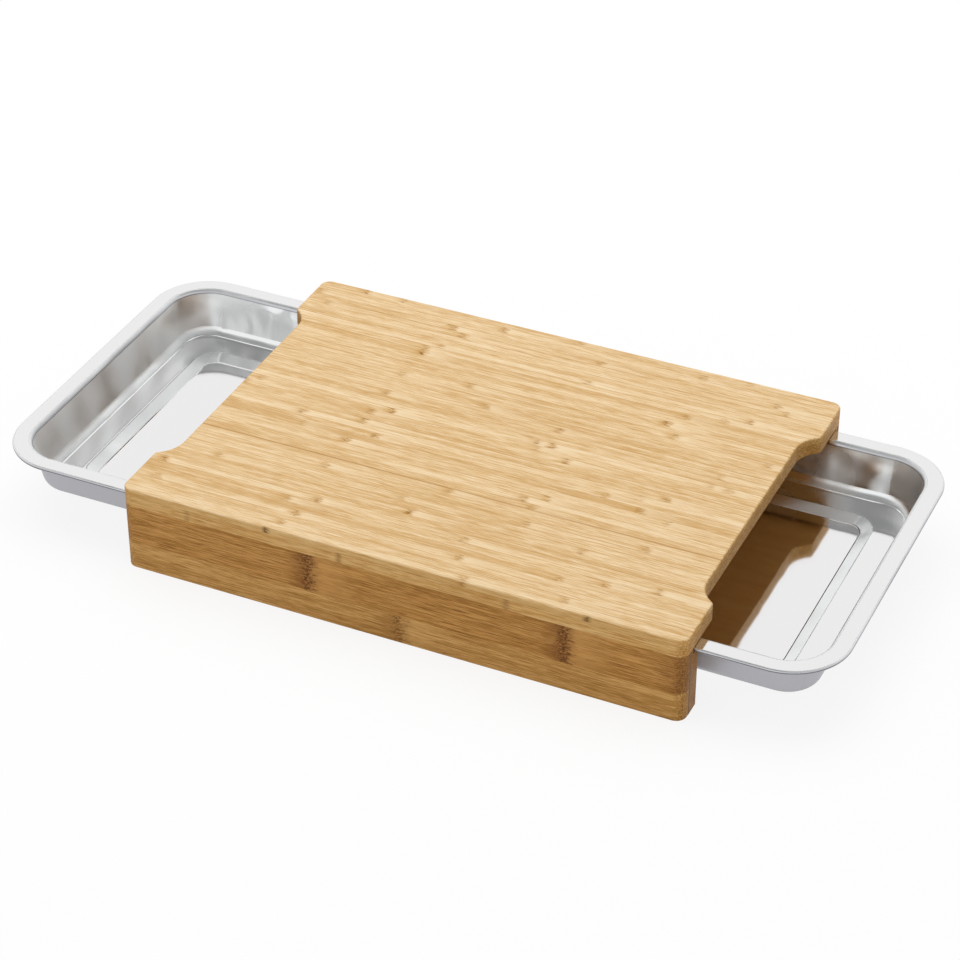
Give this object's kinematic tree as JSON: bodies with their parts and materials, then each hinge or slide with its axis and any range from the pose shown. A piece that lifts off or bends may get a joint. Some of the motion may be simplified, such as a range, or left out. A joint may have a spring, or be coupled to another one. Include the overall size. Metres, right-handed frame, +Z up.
{
  "type": "cutting board with drawer trays",
  "caption": "Bamboo cutting board on two side walls, with a shallow stainless steel tray that slides out under the slab at each end.",
  "frame": {"origin": "on the surface the board stands on, under the middle of the whole object with both trays drawn out as at rest", "axes": "+X along the board towards the right tray, +Y from the front wall to the back wall, +Z up"},
  "size_m": [0.5714, 0.28, 0.06],
  "materials": {
    "bamboo_face": "fine sanded and oiled bamboo, light honey colour",
    "bamboo_core": "sanded bamboo",
    "bamboo_wall": "fine sanded and oiled bamboo, golden brown",
    "bamboo_runner": "sanded bamboo",
    "tray_steel": "bright polished stainless steel"
  },
  "bodies": {
    "board": {"core_ply": "bamboo_core", "face_strip_01": "bamboo_face", "face_strip_02": "bamboo_face", "face_strip_03": "bamboo_face", "face_strip_04": "bamboo_face", "face_strip_05": "bamboo_face", "face_strip_06": "bamboo_face", "face_strip_07": "bamboo_face", "face_strip_08": "bamboo_face", "face_strip_09": "bamboo_face", "face_strip_10": "bamboo_face", "face_strip_11": "bamboo_face", "face_strip_12": "bamboo_face", "face_strip_13": "bamboo_face", "face_strip_14": "bamboo_face", "face_strip_15": "bamboo_face", "face_strip_16": "bamboo_face", "face_strip_17": "bamboo_face", "face_strip_18": "bamboo_face", "face_strip_19": "bamboo_face", "face_strip_20": "bamboo_face", "face_strip_21": "bamboo_face", "face_strip_22": "bamboo_face", "face_strip_23": "bamboo_face", "face_strip_24": "bamboo_face", "face_strip_25": "bamboo_face", "face_strip_26": "bamboo_face", "face_strip_27": "bamboo_face", "face_strip_28": "bamboo_face", "face_strip_29": "bamboo_face", "face_strip_30": "bamboo_face", "face_strip_31": "bamboo_face", "face_strip_32": "bamboo_face", "face_strip_33": "bamboo_face", "face_strip_34": "bamboo_face", "face_strip_35": "bamboo_face", "face_strip_36": "bamboo_face", "face_strip_37": "bamboo_face", "face_strip_38": "bamboo_face", "face_strip_39": "bamboo_face", "face_strip_40": "bamboo_face", "face_strip_41": "bamboo_face", "face_strip_42": "bamboo_face", "face_strip_43": "bamboo_face", "face_strip_44": "bamboo_face", "face_strip_45": "bamboo_face", "face_strip_46": "bamboo_face", "front_wall_lower_strip": "bamboo_wall", "front_wall_upper_strip": "bamboo_wall", "back_wall_lower_strip": "bamboo_wall", "back_wall_upper_strip": "bamboo_wall", "front_runner": "bamboo_runner", "back_runner": "bamboo_runner"},
    "left_tray": {"left_tray": "tray_steel"},
    "right_tray": {"right_tray": "tray_steel"}
  },
  "joints": [
    {"name": "left_tray_slide", "type": "slide", "parent": "board", "child": "left_tray", "axis": [-1, 0, 0], "range_m": [-0.108, 0.062]},
    {"name": "right_tray_slide", "type": "slide", "parent": "board", "child": "right_tray", "axis": [1, 0, 0], "range_m": [-0.0855, 0.0845]}
  ]
}
